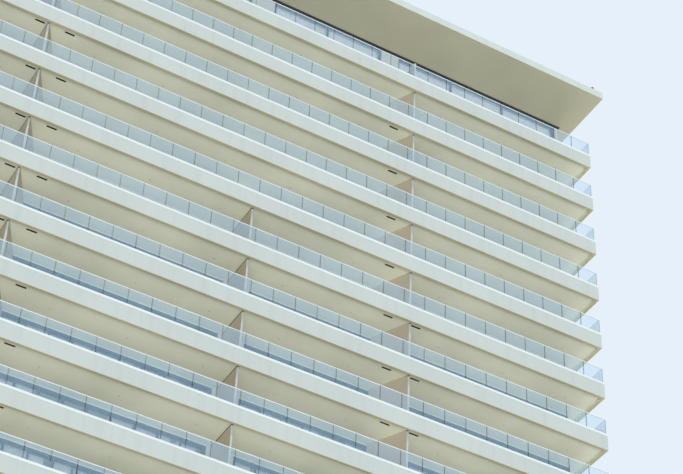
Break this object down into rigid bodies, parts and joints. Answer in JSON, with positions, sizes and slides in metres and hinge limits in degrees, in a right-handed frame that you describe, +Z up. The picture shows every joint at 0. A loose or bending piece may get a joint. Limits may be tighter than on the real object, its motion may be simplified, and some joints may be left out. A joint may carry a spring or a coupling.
{
  "type": "high-rise apartment block, 1:10 scale model",
  "caption": "Tall slab-shaped apartment block with deep white floor bands, glass balcony rails, splayed screens between flats and a broad flat roof.",
  "frame": {"origin": "centre of the building's footprint at ground level", "axes": "+Z up, -Y out of the front, +X to the right along the front"},
  "size_m": [4.737, 2.324, 9.245],
  "materials": {
    "plaster_white": "smooth off-white masonry paint",
    "roof_paint": "off-white painted concrete",
    "wall_plaster": "warm off-white plaster",
    "screen_plaster": "light tan plaster",
    "rim_metal": "satin white",
    "window_glass": "dark blue-grey tinted glass",
    "rail_glass": "clear laminated glass, faint blue",
    "lamp_lens": "dark red lens"
  },
  "bodies": {
    "root": {"plinth": "plaster_white", "roof_slab": "roof_paint", "roof_lamp": "lamp_lens", "floor_plate_01": "plaster_white", "floor_plate_02": "plaster_white", "floor_plate_03": "plaster_white", "floor_plate_04": "plaster_white", "floor_plate_05": "plaster_white", "floor_plate_06": "plaster_white", "floor_plate_07": "plaster_white", "floor_plate_08": "plaster_white", "floor_plate_09": "plaster_white", "floor_plate_10": "plaster_white", "floor_plate_11": "plaster_white", "floor_plate_12": "plaster_white", "floor_plate_13": "plaster_white", "floor_plate_14": "plaster_white", "floor_plate_15": "plaster_white", "floor_plate_16": "plaster_white", "floor_plate_17": "plaster_white", "floor_plate_18": "plaster_white", "floor_plate_19": "plaster_white", "floor_plate_20": "plaster_white", "floor_plate_21": "plaster_white", "floor_plate_22": "plaster_white", "floor_plate_23": "plaster_white", "floor_plate_24": "plaster_white", "floor_plate_25": "plaster_white", "front_wall": "wall_plaster", "back_wall": "wall_plaster", "left_wall": "wall_plaster", "right_wall": "wall_plaster", "front_windows": "window_glass", "back_windows": "window_glass", "side_windows": "window_glass", "front_rims": "rim_metal", "back_rims": "rim_metal", "side_rims": "rim_metal", "front_rail_glass": "rail_glass", "back_rail_glass": "rail_glass", "side_rail_glass": "rail_glass", "left_party_screens": "screen_plaster", "right_party_screens": "screen_plaster", "middle_screens": "screen_plaster", "top_screens": "screen_plaster"}
  },
  "joints": []
}
